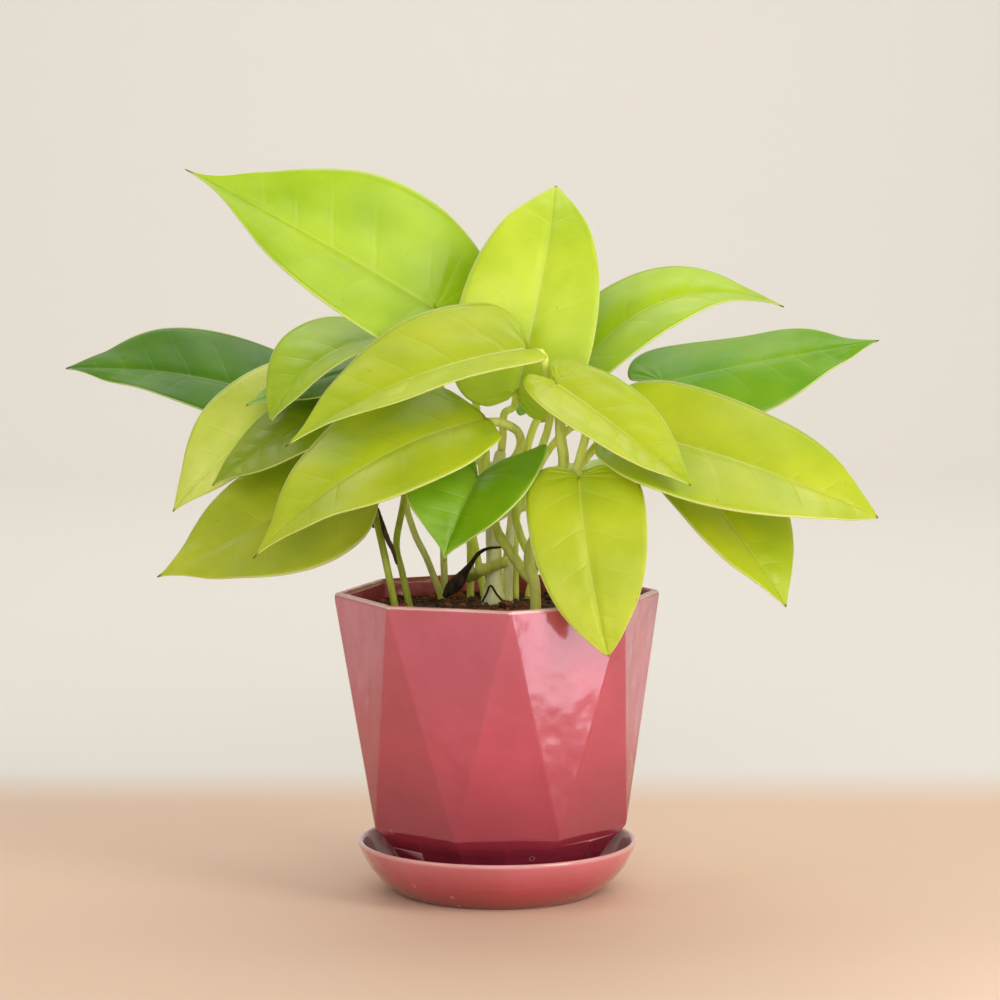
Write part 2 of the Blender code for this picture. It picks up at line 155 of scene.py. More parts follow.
away = add(tree, MATH, {0: deep.outputs[0], 1: wide.outputs[0]}, operation="MAXIMUM")
tone = add(tree, RAMP, {"Fac": away.outputs[0]}, [(0.17, "#e4c7ae"), (0.25, "#e6e2db")])
tree.links.new(tone.outputs["Color"], shader.inputs["Base Color"])
sweep_mesh.materials.append(paper)
scene.collection.objects.link(sweep)
print("sweep", len(sweep_line), "rows")

# %% [markdown]
# ## Lamps
# Broad soft panels stand for two windows, a bright ceiling and the light room behind the camera, one more
# washes the backdrop, and a small card near the pot gives its right front facet a window to reflect. The
# panels stand near the plant, so they are hidden from the camera itself. A pale sky fills the shadows.

# %% Lamps
def panel(name, place, aim, size, watts, colour):
    lamp = bpy.data.lights.new(name, "AREA")
    lamp.shape = "RECTANGLE"
    lamp.size, lamp.size_y = size
    lamp.energy = watts
    lamp.color = linear(colour)[:3]
    made = bpy.data.objects.new(name, lamp)
    made.location = place
    made.rotation_euler = (Vector(aim) - Vector(place)).to_track_quat("-Z", "Y").to_euler()
    made.visible_camera = False
    scene.collection.objects.link(made)


panel("window_right", (1.05, -0.78, 0.72), (0, 0, 0.15), (0.55, 1.15), 10.5, "#fffaf4")
panel("window_left", (-1.15, -0.7, 0.75), (0, 0, 0.15), (0.6, 0.9), 3.5, "#fbfaff")
panel("top_panel", (0.0, 0.75, 1.5), (0, 0.8, 0), (2.2, 1.0), 9.5, "#ffffff")
panel("front_fill", (0.2, -2.3, 1.2), (0, 0, 0.12), (1.9, 1.3), 20, "#fffdf8")
panel("glaze_card", (0.245, -0.20, 0.025), (0.03, -0.05, 0.075), (0.07, 0.13), 0.12, "#f6efff")
panel("backdrop_wash", (0.0, 1.5, 2.1), (0, 2.6, 0.35), (2.6, 0.6), 18, "#fffdfa")

sky = bpy.data.worlds.new("sky")
sky.use_nodes = True
tree = sky.node_tree
direction = add(tree, PLACE).outputs["Generated"]
parts = add(tree, "ShaderNodeSeparateXYZ", {"Vector": direction})
tone = add(tree, RAMP, {"Fac": parts.outputs["Y"]}, [(0.0, "#d8d2ca"), (0.6, "#f7f3ee")])
tree.links.new(tone.outputs["Color"], tree.nodes["Background"].inputs["Color"])
tree.nodes["Background"].inputs["Strength"].default_value = 0.46
scene.world = sky
print("panels", len(bpy.data.lights))

# %% [markdown]
# ## Mesh helpers
# Most pieces here are lofts: rings or rows of points with faces between them. One function makes the
# object, links it, lets it ride on the CAD body and hides the CAD node that it stands for.

# %% Mesh helpers
def around(reach, angle):
    """(x, y) at a distance from the axis, the angle counted from the front."""
    return reach * math.sin(angle), -reach * math.cos(angle)


def make_piece(name, points, faces, finish, stands_for, slot_name):
    mesh = bpy.data.meshes.new(name)
    mesh.from_pydata([Vector(p) * MM for p in points], [], faces)
    clean = bmesh.new()
    clean.from_mesh(mesh)
    bmesh.ops.recalc_face_normals(clean, faces=clean.faces)
    clean.to_mesh(mesh)
    clean.free()
    mesh.shade_smooth()
    mesh.materials.append(finish)
    made = bpy.data.objects.new(name, mesh)
    scene.collection.objects.link(made)
    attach(made, "root")
    if stands_for:
        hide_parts(stands_for)
    return made


def loft_faces(rows, count, first=0):
    """Quads between rings of count points."""
    return [(first + r * count + k, first + r * count + (k + 1) % count,
             first + (r + 1) * count + (k + 1) % count, first + (r + 1) * count + k)
            for r in range(rows - 1) for k in range(count)]


print("mesh helpers ready")

# %% [markdown]
# ## The glaze
# Pot and saucer are slip-cast stoneware under a rose glaze. A glaze is glass: smooth, an IOR near 1.5, low
# roughness, and it breaks paler where it runs thin over edges and pools darker in hollows. Fine waves in
# its surface bend the window reflections, and a few burst bubbles leave pale rings. The colour follows a
# cloudy noise and the height, and darkens towards the foot as painted shade, which on the pot also stands
# for the dark reflection of the saucer. The waves are a shallow bump about a centimetre across, as on a real glaze.

# %% Glaze material
WAVE_SIZE = 10.0  # mm across one ripple in the glaze
PEEL_SIZE = 1.6  # mm, the finer orange peel
CLOUD_SIZE = 34  # mm, lighter and darker patches
BUBBLE_SPACING = 15  # mm


def make_glaze(name, low, middle, high, foot_z, top_z):
    made, tree, shader = start_material(name, 0.16, 1.5, Coat_Weight=0.5, Coat_Roughness=0.10)
    place = add(tree, PLACE).outputs["Object"]
    height = add(tree, "ShaderNodeSeparateXYZ", {"Vector": place}).outputs["Z"]
    level = add(tree, RANGE, {"Value": height}, From_Min=foot_z * MM, From_Max=top_z * MM)
    cloud = add(tree, NOISE, {"Vector": place}, Scale=1000 / CLOUD_SIZE, Detail=4.0, Roughness=0.55)
    # painted shade: darker towards the foot, and on the pot the dark reflection of the saucer too
    shade_by_height = add(tree, RAMP, {"Fac": level.outputs[0]}, [(0.0, low), (0.45, middle), (1.0, high)])
    cloud_tone = add(tree, RAMP, {"Fac": cloud.outputs["Fac"]}, [(0.35, "#b9a4a4"), (0.65, "#ffffff")])
    clouded = add(tree, MIX, {0: 0.3, 6: shade_by_height.outputs["Color"], 7: cloud_tone.outputs["Color"]},
                  data_type="RGBA", blend_type="MULTIPLY")
    # the glaze runs thin over an edge and lets the pale body show
    edge = add(tree, "ShaderNodeNewGeometry").outputs["Pointiness"]
    thin = add(tree, RANGE, {"Value": edge}, From_Min=0.515, From_Max=0.60)
    edged = add(tree, MIX, {0: thin.outputs[0], 6: clouded.outputs[2], 7: "#e7b9b2"}, data_type="RGBA")
    # burst bubbles near the foot
    bubbles = add(tree, "ShaderNodeTexVoronoi", {"Vector": place}, Scale=1000 / BUBBLE_SPACING)
    ring = add(tree, RAMP, {"Fac": bubbles.outputs["Distance"]},
               [(0.050, "#000000"), (0.062, "#8a8a8a"), (0.074, "#8a8a8a"), (0.088, "#000000")])
    low_down = add(tree, RANGE, {"Value": height}, From_Min=0.030, From_Max=0.024)
    foot_ring = add(tree, MATH, {0: ring.outputs["Color"], 1: low_down.outputs[0]}, operation="MULTIPLY")
    tone = add(tree, MIX, {0: foot_ring.outputs[0], 6: edged.outputs[2], 7: "#e8c3bb"}, data_type="RGBA")
    tree.links.new(tone.outputs[2], shader.inputs["Base Color"])
    waves = add(tree, NOISE, {"Vector": place}, Scale=1000 / WAVE_SIZE, Detail=1.0)
    peel = add(tree, NOISE, {"Vector": place}, Scale=1000 / PEEL_SIZE, Detail=1.0)
    peel_bump = add(tree, BUMP, {"Height": peel.outputs["Fac"]}, Strength=0.10, Distance=0.0002)
    wave_bump = add(tree, BUMP, {"Height": waves.outputs["Fac"], "Normal": peel_bump.outputs[0]},
                    Strength=0.6, Distance=0.0008)
    tree.links.new(wave_bump.outputs[0], shader.inputs["Normal"])
    tree.links.new(wave_bump.outputs[0], shader.inputs["Coat Normal"])
    return made


# the first colour of each, at the foot, is painted shade
pot_glaze = make_glaze("rose_glazed_stoneware", "#84283a", "#c04a5c", "#c85a6a", 14, 111)
saucer_glaze = make_glaze("rose_glazed_saucer", "#9a3636", "#bb4650", "#d87b84", 0, 19.5)
# the darker foot is painted shade
print("glaze: rose, shade_darkened at the foot, pale on edges")

# %% [markdown]
# ## The pot
# The walls are triangles: a rim octagon and a smaller foot octagon turned half a side against it, joined
# corner to corner. Such a body is modelled as rings of sixteen points with the facet triangles between
# them, and a bevel rounds each arris by about a millimetre, as clay and glaze do. Under the facets a
# rounded band runs in to the foot, and the wall turns over the rim and goes down inside again.

# %% Pot
SIDES = 8
RING = 2 * SIDES
POT_TURN = 4.3
RIM_RADIUS, RIM_HEIGHT = 60.0, 111.0
FACET_FOOT_RADIUS, FACET_FOOT_HEIGHT = 49.6, 27.0
WALL = 3.6
POT_FOOT_RADIUS, STANDING = 36.0, 4.55
DRAIN_RADIUS = 6.0
ARRIS = 1.3  # mm, the rounding of the arrises
INNER_FOOT_HEIGHT, INNER_RIM_HEIGHT = 28.2, RIM_HEIGHT - 1.2


def corner_ring(radius, height, turned, roundness=0.0):
    points = []
    for k in range(RING):
        angle = math.radians(POT_TURN + k * 360.0 / RING)
        on_corner = (k % 2 == 1) if turned else (k % 2 == 0)
        side_middle = radius * math.cos(math.pi / SIDES)
        reach = radius if on_corner else side_middle + (radius - side_middle) * roundness
        points.append((*around(reach, angle), height))
    return points


def facets(upper, lower):
    faces = []
    for k in range(RING):
        after = (k + 1) % RING
        top_a, top_b = upper * RING + k, upper * RING + after
        low_a, low_b = lower * RING + k, lower * RING + after
        if k % 2 == 0:
            faces += [(top_a, top_b, low_b), (top_a, low_b, low_a)]
        else:
            faces += [(top_a, top_b, low_a), (top_b, low_b, low_a)]
    return faces


inner_rim = RIM_RADIUS - WALL - 0.2
pot_outside = [
    corner_ring(RIM_RADIUS - 1.0, RIM_HEIGHT, False),
    corner_ring(RIM_RADIUS, RIM_HEIGHT - 1.0, False),
    corner_ring(FACET_FOOT_RADIUS, FACET_FOOT_HEIGHT, True),
    corner_ring(46.4, 23.6, True, 0.4),
    corner_ring(42.6, 19.6, True, 0.7),
    corner_ring(39.4, 14.6, True, 0.9),
    corner_ring(37.4, 9.0, True, 1.0),
    corner_ring(POT_FOOT_RADIUS, STANDING, True, 1.0),
    corner_ring(POT_FOOT_RADIUS - 3.0, STANDING, True, 1.0),
    corner_ring(POT_FOOT_RADIUS - 4.2, STANDING + 1.6, True, 1.0),
    corner_ring(DRAIN_RADIUS + 0.6, STANDING + 1.8, True, 1.0),
]
pot_inside = [
    corner_ring(DRAIN_RADIUS, STANDING + 5.4, True, 1.0),
    corner_ring(POT_FOOT_RADIUS - 4.5, STANDING + 5.8, True, 1.0),
    corner_ring(POT_FOOT_RADIUS - 0.6, STANDING + 9.5, True, 1.0),
    corner_ring(39.0, 20.6, True, 0.7),
    corner_ring(FACET_FOOT_RADIUS - WALL, INNER_FOOT_HEIGHT, True, 0.0),
    corner_ring(inner_rim, INNER_RIM_HEIGHT, False),
    corner_ring(inner_rim + 1.2, RIM_HEIGHT, False),
]
pot_rows = pot_outside + pot_inside
outer_top, inner_foot = 1, len(pot_rows) - 3
pot_faces = facets(outer_top, outer_top + 1) + facets(inner_foot + 1, inner_foot)
for row in range(len(pot_rows)):
    if row in (outer_top, inner_foot):
        continue
    above = (row + 1) % len(pot_rows)
    for k in range(RING):
        after = (k + 1) % RING
        pot_faces.append((row * RING + k, row * RING + after, above * RING + after, above * RING + k))

pot = make_piece("glazed_pot", [p for r in pot_rows for p in r], pot_faces, pot_glaze, "pot", "glaze")
rounding = pot.modifiers.new("rounded arrises", "BEVEL")
rounding.width = ARRIS * MM
rounding.segments = 4
rounding.limit_method = "ANGLE"
rounding.angle_limit = math.radians(5)
rounding.harden_normals = True
print("pot facets", 4 * RING, "arris", ARRIS, "mm")

# %% [markdown]
# ## The saucer
# A thrown or pressed dish is one profile turned round an axis, so it is lofted from rings of one profile.
# The lip is a rounded bead about 2.5 mm thick.

# %% Saucer
SAUCER_RADIUS, SAUCER_HEIGHT, SAUCER_FLOOR = 51.6, 19.2, 4.2
SAUCER_SEGMENTS = 128
saucer_line = [
    (0.01, 0.6), (20, 0.5), (33.6, 0.4), (34.4, 0.0), (36.2, 0.0), (37.4, 0.6), (40.2, 2.6), (44.0, 5.9),
    (47.4, 10.0), (50.0, 15.0), (51.1, 17.4), (51.5, 18.3), (51.3, 18.9), (50.6, SAUCER_HEIGHT), (49.8, 18.9),
    (49.3, 18.1), (48.6, 15.8), (46.0, 11.2), (42.6, 7.4), (39.4, 5.2), (37.6, 4.3), (30, SAUCER_FLOOR),
    (12, SAUCER_FLOOR), (0.01, SAUCER_FLOOR),
]
saucer_points = []
for radius, height in saucer_line:
    for k in range(SAUCER_SEGMENTS):
        angle = 2 * math.pi * k / SAUCER_SEGMENTS
        saucer_points.append((*around(radius, angle), height))
make_piece("glazed_saucer", saucer_points, loft_faces(len(saucer_line), SAUCER_SEGMENTS), saucer_glaze,
           "saucer", "glaze")
print("saucer rings", len(saucer_line))

# %% [markdown]
# ## The soil
# Potting mix with coco coir: dark crumbs of peat, red-brown chips and stiff fibres. The bed is a fine grid
# pushed up and down by noise, crumbs are small lumpy balls sunk into it, and fibres are thin bent tubes
# laid on top. Each one is real geometry, because the rim shows them from the side.

# %% Soil materials
def make_mix(name, dark, warm, light, grain):
    made, tree, shader = start_material(name, 0.95)
    place = add(tree, PLACE).outputs["Object"]
    grains = add(tree, NOISE, {"Vector": place}, Scale=1000 / grain, Detail=6.0, Roughness=0.7)
    tone = add(tree, RAMP, {"Fac": grains.outputs["Fac"]}, [(0.30, dark), (0.52, warm), (0.72, light)])
    tree.links.new(tone.outputs["Color"], shader.inputs["Base Color"])
    bump = add(tree, BUMP, {"Height": grains.outputs["Fac"]}, Strength=0.9, Distance=0.0012)
    tree.links.new(bump.outputs[0], shader.inputs["Normal"])
    return made


peat = make_mix("peat_and_coir", "#1a0e08", "#4a2a17", "#80573a", 3.0)
coir = make_mix("coir_fibre", "#5a3218", "#8a5227", "#b5804a", 2.0)
print("soil materials ready")

# %% Soil bed, crumbs and fibres
SOIL_EDGE, SOIL_CROWN = 103.5, 106.0
chance = random.Random(7)


def inside_reach(angle, height, inset):
    """How far the pot's inner wall is from the axis at an angle and a height."""
    share = (height - INNER_FOOT_HEIGHT) / (INNER_RIM_HEIGHT - INNER_FOOT_HEIGHT)
    flat = math.cos(math.pi / SIDES)
    step = (math.degrees(angle) - POT_TURN) % 45.0 / 22.5
    at_top = inner_rim + (inner_rim * flat - inner_rim) * (1 - abs(1 - step))
    at_foot = (FACET_FOOT_RADIUS - WALL) * (flat + (1 - flat) * (1 - abs(1 - step)))
    return at_foot + (at_top - at_foot) * share - inset


def soil_height(x, y):
    share = min(1.0, math.hypot(x, y) / 52.0)
    clods = noise(Vector((x, y, 3.0)) / 9.0) * 1.5 + noise(Vector((x, y, 9.0)) / 3.2) * 0.9
    return SOIL_EDGE + (SOIL_CROWN - SOIL_EDGE) * (1 - share ** 2) + clods


BED_TURNS, BED_RINGS = 144, 40
BED_INSET = 0.5  # mm clear of the pot
bed_points = []
for r in range(BED_RINGS):
    share = (r + 1) / BED_RINGS
    for k in range(BED_TURNS):
        angle = 2 * math.pi * k / BED_TURNS
        reach = inside_reach(angle, SOIL_EDGE, BED_INSET) * share
        x, y = around(reach, angle)
        bed_points.append((x, y, soil_height(x, y)))
bed_faces = loft_faces(BED_RINGS, BED_TURNS)
bed_faces.append(tuple(range(BED_TURNS)))
for depth in (99.0, 30.0):
    row = len(bed_points)
    for k in range(BED_TURNS):
        angle = 2 * math.pi * k / BED_TURNS
        reach = inside_reach(angle, depth, BED_INSET)
        bed_points.append((*around(reach, angle), depth))
    bed_faces += loft_faces(2, BED_TURNS, row - BED_TURNS)
bed_faces.append(tuple(range(len(bed_points) - BED_TURNS, len(bed_points))))
make_piece("soil_bed", bed_points, bed_faces, peat, "soil", "coco_peat")


def lumpy_ball(centre, size, seed):
    """A squashed icosphere with noise, as (points, faces)."""
    ball = bmesh.new()
    bmesh.ops.create_icosphere(ball, subdivisions=2, radius=1.0)
    squash = (1.0, 0.75 + 0.3 * chance.random(), 0.6 + 0.3 * chance.random())
    turn = chance.random() * math.pi
    points = []
    for v in ball.verts:
        lump = 1 + 0.45 * noise(v.co * 1.3 + Vector((seed, 0, 0)))
        x, y, z = (v.co[k] * squash[k] * size * lump for k in range(3))
        points.append((centre[0] + x * math.cos(turn) - y * math.sin(turn),
                       centre[1] + x * math.sin(turn) + y * math.cos(turn), centre[2] + z))
    faces = [tuple(v.index for v in f.verts) for f in ball.faces]
    ball.free()
    return points, faces


def gather(parts):
    """Joins several (points, faces) into one."""
    points, faces = [], []
    for some_points, some_faces in parts:
        first = len(points)
        points += some_points
        faces += [tuple(first + k for k in f) for f in some_faces]
    return points, faces


CRUMBS, CHIPS = 420, 150
crumbs, chips = [], []
for k in range(CRUMBS + CHIPS):
    angle = chance.random() * 2 * math.pi
    size = 0.5 + 1.5 * chance.random() ** 2
    reach = (inside_reach(angle, SOIL_EDGE, 1.2) - size) * math.sqrt(chance.random())
    x, y = around(reach, angle)
    lump = lumpy_ball((x, y, soil_height(x, y) + size * 0.15), size, k)
    (crumbs if k < CRUMBS else chips).append(lump)
make_piece("peat_crumbs", *gather(crumbs), peat, None, "coco_peat")
make_piece("coir_chips", *gather(chips), coir, None, "coco_peat")
print("crumbs", CRUMBS, "chips", CHIPS)

# %% [markdown]
# ## Round stems
# Stalks, vines, roots and fibres are all tubes along a smooth line. A Catmull-Rom line through a few
# given points gives the bend, and rings are set square to it without twisting. The radius may change
# along the way, so a joint can swell and a tip can taper.

# %% Tube helpers
def smooth_line(points, count):
    """Points evenly spread along a smooth curve through the given ones."""
    points = [Vector(p) for p in points]
    ends = [points[0] * 2 - points[1]] + points + [points[-1] * 2 - points[-2]]
    fine = []
    steps = 12
    for k in range(len(points) - 1):
        a, b, c, d = ends[k:k + 4]
        for step in range(steps):
            u = step / steps
            fine.append(0.5 * (2 * b + (c - a) * u + (2 * a - 5 * b + 4 * c - d) * u ** 2
                               + (3 * b - a - 3 * c + d) * u ** 3))
    fine.append(points[-1])
    lengths = [0.0]
    for a, b in zip(fine, fine[1:]):
        lengths.append(lengths[-1] + (b - a).length)
    route, j = [], 0
    for k in range(count):
        target = lengths[-1] * k / (count - 1)
        while j < len(fine) - 2 and lengths[j + 1] < target:
            j += 1
        span = max(lengths[j + 1] - lengths[j], 1e-9)
        route.append(fine[j].lerp(fine[j + 1], (target - lengths[j]) / span))
    return route


def tube(route, radii, sides):
    """(points, faces) of a closed tube."""
    points = []
    across = None
    for k, (place, radius) in enumerate(zip(route, radii)):
        ahead = route[min(k + 1, len(route) - 1)] - route[max(k - 1, 0)]
        ahead.normalize()
        if across is None:
            across = ahead.orthogonal().normalized()
        across = (across - ahead * across.dot(ahead)).normalized()
        over = ahead.cross(across)
        for s in range(sides):
            angle = 2 * math.pi * s / sides
            out = across * math.cos(angle) + over * math.sin(angle)
            points.append(tuple(place + out * radius))
    faces = loft_faces(len(route), sides)
    faces.append(tuple(range(sides)))
    faces.append(tuple(range(len(points) - sides, len(points))))
    return points, faces


def swell(start, end, count, bumps=()):
    """Radii from start to end, with bumps (where 0 to 1, how much, how wide)."""
    radii = []
    for k in range(count):
        t = k / (count - 1)
        radius = start + (end - start) * t
        for where, much, wide in bumps:
            radius *= 1 + much * math.exp(-((t - where) / wide) ** 2)
        radii.append(radius)
    return radii


FIBRES, FIBRE_STEPS = 90, 10
fibres = []
for k in range(FIBRES):
    angle = chance.random() * 2 * math.pi
    reach = 40 * math.sqrt(chance.random())
    x, y = around(reach, angle)
    heading = chance.random() * 2 * math.pi
    length = 4 + 8 * chance.random()
    way = []
    for step in range(4):
        heading += (chance.random() - 0.5) * 1.1
        x += length / 4 * math.cos(heading)
        y += length / 4 * math.sin(heading)
        way.append((x, y, soil_height(x, y) + 0.3 + 1.3 * chance.random()))
    fibres.append(tube(smooth_line(way, FIBRE_STEPS), swell(0.20, 0.10, FIBRE_STEPS), sides=5))
make_piece("coir_fibres", *gather(fibres), coir, None, "coco_peat")
print("fibres", FIBRES)

# %% [markdown]
# ## The leaf's shape
# A pothos leaf is a pointed heart, folded a little along its midrib, with margins that curl back down and a
# tip drawn out to a point. It is built as a surface with two coordinates: s runs round the half outline
# from the stalk, past the lobe, to the tip, and q runs from the midrib out to the margin along the side
# veins, which slant forward. The same table of leaves as in the CAD gives each one its place, so each blade
# lies where its CAD solid is.

# %% Leaf table and outline
Leaf = namedtuple("Leaf", "base tip face left right arch sway fold droop lobe slope taper")

# base: where the stalk meets the blade; tip: the point of the leaf; face: where the upper side looks;
# left, right: half widths; arch and sway: how far the midrib bends up and sideways; fold: degrees that each
# half is raised; droop: how far the margins curl down; lobe, slope and taper shape the outline.
LEAVES = {
    "top_left": Leaf((-23, 20, 214), (-114, 8, 265), (0.33, -0.74, 0.58), 34, 38, 2, 0, 15, 2, 0.19, -0.01, 1.75),
    "far_left": Leaf((-79, 60, 176), (-164, 50, 190), (0.13, -0.57, 0.81), 20, 30, 6, 0, 6, 2, 0.16, 0.0, 1.1),
    "top_centre": Leaf((7, 2, 184), (22, 38, 259), (0.0, -0.88, 0.47), 28, 24, 12, 2, 10, 2, 0.08, 0.0, 0.9),
    "top_right": Leaf((26, 16, 187), (107, 30, 214), (-0.2, -0.5, 0.85), 24, 22, 20, 0, 10, 2, 0.06, 0.04, 1.3),
    "middle_left": Leaf((11, -18, 201), (-75, -40, 167), (-0.34, -0.5, 0.8), 22, 30, 7, 0, 14, 1, 0.02, 0.0, 1.5),
    "front_left": Leaf((-4, -20, 176), (-86, -46, 128), (-0.42, -0.57, 0.70), 30, 33, 10, 0, 7, 2, 0.0, 0.12, 1.4),
    "lowest_left": Leaf((-53, 6, 156), (-124, -8, 117), (-0.38, -0.71, 0.60), 33, 28, -2, 0, 2, 1, 0.04, 0.06, 1.3),
    "pale_left": Leaf((-67, 34, 182), (-121, 22, 138), (-0.42, -0.8, 0.42), 15, 26, 7, 0, 2, 2, 0.10, 0.0, 1.1),
    "inner_left": Leaf((-43, 19, 203), (-83, 2, 173), (-0.54, -0.44, 0.72), 24, 27, 8, 0, 12, 1, 0.02, 0.04, 0.9),
    "tucked_left": Leaf((-36, 26, 194), (-93, 18, 178), (-0.3, -0.35, 0.88), 20, 20, 2, 0, 4, 1, 0.10, 0.0, 1.0),
    "olive_left": Leaf((-56, 16, 179), (-105, 8, 149), (-0.4, -0.5, 0.75), 22, 19, 3, 0, 8, 2, 0.10, 0.0, 1.1),
    "front_hanging": Leaf((29, -33, 156), (39, -60, 95), (0.05, -0.95, 0.3), 23, 20, 4, 2, 10, 3, 0.05, 0.0, 0.8),
    "front_right": Leaf((21, -24, 189), (68, -48, 154), (0.5, -0.6, 0.62), 20, 23, 1, 0, 12, 1, 0.12, 0.04, 1.0),
    "long_right": Leaf((46, -13, 171), (137, -22, 140), (0.27, -0.59, 0.76), 31, 34, 4, 0, 10, 2, 0.08, 0.02, 0.85),
    "low_right": Leaf((62, 0, 164), (104, -24, 108), (0.5, -0.7, 0.48), 31, 20, 3, 0, 10, 2, 0.08, 0.0, 1.0),
    "far_right": Leaf((62, 30, 186), (144, 42, 201), (-0.16, -0.57, 0.80), 26, 24, 1, 0, -5, 2, 0.13, 0.0, 1.25),
    "small_centre": Leaf((19, 28, 180), (44, 48, 197), (-0.3, -0.5, 0.8), 15, 15, 2, 0, 6, 2, 0.30, 0.0, 1.0),
    "curled_centre": Leaf((-7, -24, 155), (-19, -46, 127), (-0.1, -0.75, 0.6), 25, 27, 3, 0, 22, 0, 0.25, -0.4, 1.7),
    "rear_left": Leaf((-14, 57, 154), (-74, 98, 146), (-0.2, 0.3, 0.93), 26, 28, 6, 0, 10, 4, 0.12, 0.0, 1.0),
    "rear_right": Leaf((36, 44, 152), (84, 90, 144), (0.1, 0.3, 0.95), 26, 26, 6, 0, 10, 4, 0.12, 0.0, 1.0),
    "rear_low": Leaf((-1, 46, 138), (-6, 104, 122), (0.0, 0.35, 0.93), 25, 25, 6, 0, 10, 4, 0.12, 0.0, 1.0),
}

# Half of a flat leaf from the stalk round the lobe to the tip. Each row is the share of the half width,
# then how far along the leaf it lies: a share of the lobe's reach, of the slope, and of the length.
HALF_OUTLINE = [
    (0.08, 0.45, 0.0, 0.0), (0.34, 1.00, 0.1, 0.0), (0.68, 0.70, 0.4, 0.0), (0.93, 0.0, 1.0, 0.05),
    (1.00, 0.0, 0.6, 0.22), (0.95, 0.0, 0.2, 0.42), (0.80, 0.0, 0.0, 0.60), (0.57, 0.0, 0.0, 0.75),
    (0.30, 0.0, 0.0, 0.87), (0.11, 0.0, 0.0, 0.95), (0.0, 0.0, 0.0, 1.0),
]

WIDEST = 0.22  # share of the length where the taper starts
RIB_SLANT = 0.16  # how far a side vein runs forward, as a share of the length


class Blade:
    """The curved surface of one leaf, in millimetres."""

    def __init__(self, leaf):
        self.leaf = leaf
        self.base = Vector(leaf.base)
        self.chord = Vector(leaf.tip) - self.base
        along = self.chord.normalized()
        face = Vector(leaf.face)
        self.up = (face - along * face.dot(along)).normalized()
        self.rise = self.up * leaf.arch * 4 + along.cross(self.up) * leaf.sway * 4

    def midrib(self, t):
        if t < 0:
            return self.base + (self.chord + self.rise) * t
        return self.base + self.chord * t + self.rise * t * (1 - t)

    def axes(self, t):
        t = min(max(t, 0.0), 1.0)
        forward = (self.chord + self.rise * (1 - 2 * t)).normalized()
        up = (self.up - forward * self.up.dot(forward)).normalized()
        return forward, up, forward.cross(up)

    def point(self, hand, across, t, lift=0.0):
        leaf = self.leaf
        _, up, right = self.axes(t)
        width = leaf.right if hand > 0 else leaf.left
        reach = across * width
        fold = math.radians(leaf.fold)
        height = reach * math.sin(fold) - leaf.droop * across ** 2 + lift
        return self.midrib(t) + right * hand * reach * math.cos(fold) + up * height


def half_outline(leaf, count):
    """(across, t) round half a leaf, evenly spread over a smooth line through the outline's points."""
    knots = []
    for across, back, fall, along in HALF_OUTLINE:
        if along > WIDEST:
            across = across ** leaf.taper
        knots.append((across, along + fall * leaf.slope - back * leaf.lobe, 0.0))
    line = smooth_line(knots, count)
    return [(max(p.x, 0.0), p.y) for p in line]


print("leaves", len(LEAVES))

# %% [markdown]
# ## The leaf's surface
# Between the side veins the blade is gently quilted, the midrib lies in a groove, and the margin waves. All
# of that is real height on a fine grid. The grid also stores where each point is on the leaf as a map called
# leaf_map, so that the material can draw veins, a pale margin painted as light glowing through the thin
# edge, and a brown tip in the right places.

# %% Build the blades
OUTLINE_STEPS, RIB_STEPS = ((60, 14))
QUILT = 0.42  # mm, how far the blade swells between side veins
GROOVE = 0.55  # mm, how deep the midrib lies
VEINS = 11  # side veins on each half
SKIN = 0.5  # mm, the blade's thickness


def surface_height(hand, s, q, wave, seed):
    uneven = noise(Vector((s * 6 + seed, q * 2, hand * 3)))
    puff = 0.5 - 0.5 * math.cos(2 * math.pi * VEINS * s + 1.4 * uneven)
    quilt = QUILT * puff * math.sin(math.pi * min(1.0, q * 1.1)) ** 0.8 * (0.75 + 0.9 * uneven)
    groove = -GROOVE * math.exp(-(q / 0.10) ** 2)
    ripple = wave * q ** 3 * math.sin(2 * math.pi * (2.3 * s + seed * 0.37)) * math.sin(math.pi * s) ** 0.5
    fine = 0.35 * noise(Vector((s * 9 + seed, q * 4, hand))) * q
    return quilt + groove + ripple + fine


